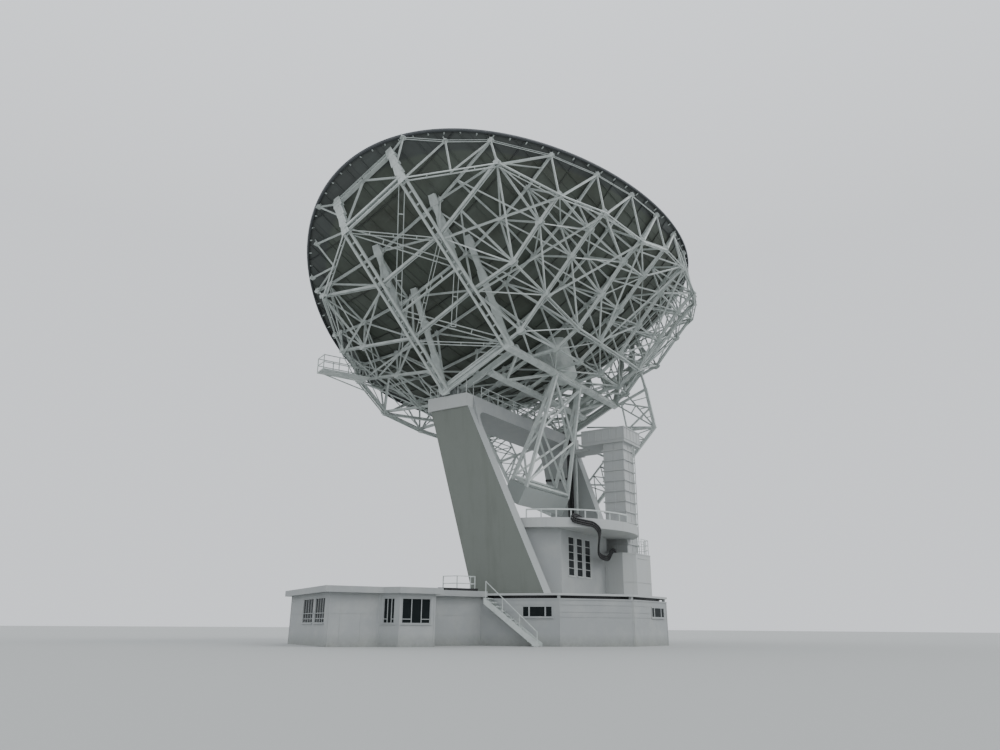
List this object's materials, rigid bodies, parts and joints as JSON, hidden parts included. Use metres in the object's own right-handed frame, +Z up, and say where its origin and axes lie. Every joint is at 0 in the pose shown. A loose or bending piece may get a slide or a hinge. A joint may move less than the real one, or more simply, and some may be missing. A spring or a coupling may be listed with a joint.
{
  "type": "radio telescope dish",
  "caption": "Large steerable elliptical dish on a lattice backing frame, carried by leaning towers on a turntable over a polygonal base building with an annex.",
  "frame": {"origin": "centre of the azimuth axis at ground level, on the flat underside of the base building's floor slab", "axes": "+Z up, +X along the dish's long axis and the elevation axis, +Y towards where the dish looks"},
  "size_m": [38.34, 23.7451, 33.1009],
  "materials": {
    "painted_masonry": "white masonry paint on brick and concrete, weathered",
    "rough_concrete": "bare concrete",
    "glass": "dark window glass",
    "lattice_steel": "pale grey paint on welded steel sections",
    "reflector_sheet": "dull grey-green paint on thin sheet",
    "counterweight_steel": "pale grey paint on plate",
    "bearing_steel": "dark painted casting",
    "cable_rubber": "black cable sheath"
  },
  "bodies": {
    "base_building": {"foundation_slab": "rough_concrete", "drum_wall_1": "painted_masonry", "drum_wall_2": "painted_masonry", "drum_wall_3": "painted_masonry", "drum_wall_4": "painted_masonry", "drum_wall_5": "painted_masonry", "azimuth_rail_beam": "rough_concrete", "drum_coping": "painted_masonry", "drum_glass_left": "glass", "drum_glass_right": "glass", "access_stair": "lattice_steel", "annex_front_wall": "painted_masonry", "annex_rear_wall": "painted_masonry", "annex_floor": "rough_concrete", "annex_roof": "painted_masonry", "annex_glass_bay_side": "glass", "annex_glass_bay_front": "glass", "annex_glass_end": "glass", "roof_railing": "lattice_steel"},
    "turntable": {"turntable_deck": "rough_concrete", "tower_right": "painted_masonry", "tower_left": "painted_masonry", "portal_beam": "painted_masonry", "portal_handrail": "lattice_steel", "bearing_right": "bearing_steel", "bearing_left": "bearing_steel", "access_box": "painted_masonry", "room_rear_wall": "painted_masonry", "room_front_wall": "painted_masonry", "room_glass_rear": "glass", "room_glass_front": "glass", "balcony_slab": "painted_masonry", "balcony_railing": "lattice_steel", "access_shaft": "painted_masonry", "access_platform": "painted_masonry", "cable_run": "cable_rubber", "cable_mast": "lattice_steel"},
    "dish": {"reflector_skin": "reflector_sheet", "rim_band": "reflector_sheet", "rib_right_1": "lattice_steel", "rib_right_2": "lattice_steel", "rib_right_3": "lattice_steel", "rib_right_4": "lattice_steel", "rib_right_5": "lattice_steel", "rib_left_1": "lattice_steel", "rib_left_2": "lattice_steel", "rib_left_3": "lattice_steel", "rib_left_4": "lattice_steel", "rib_left_5": "lattice_steel", "elevation_frame": "lattice_steel", "hub_cone": "lattice_steel", "feed_mast": "lattice_steel", "back_bracing": "lattice_steel", "front_bracing": "lattice_steel", "wing_bracing_right": "lattice_steel", "wing_bracing_left": "lattice_steel", "counterweight_box": "counterweight_steel", "counterweight_arm": "lattice_steel", "elevation_sector": "lattice_steel", "service_platform": "lattice_steel"}
  },
  "joints": [
    {"name": "azimuth", "type": "hinge", "parent": "base_building", "child": "turntable", "pos_m": [0, 0, 2.46], "axis": [0, 0, 1], "range_deg": [-180, 180]},
    {"name": "elevation", "type": "hinge", "parent": "turntable", "child": "dish", "pos_m": [0, 3.3, 16.35], "axis": [1, 0, 0], "range_deg": [-64.2, 25.8]}
  ]
}
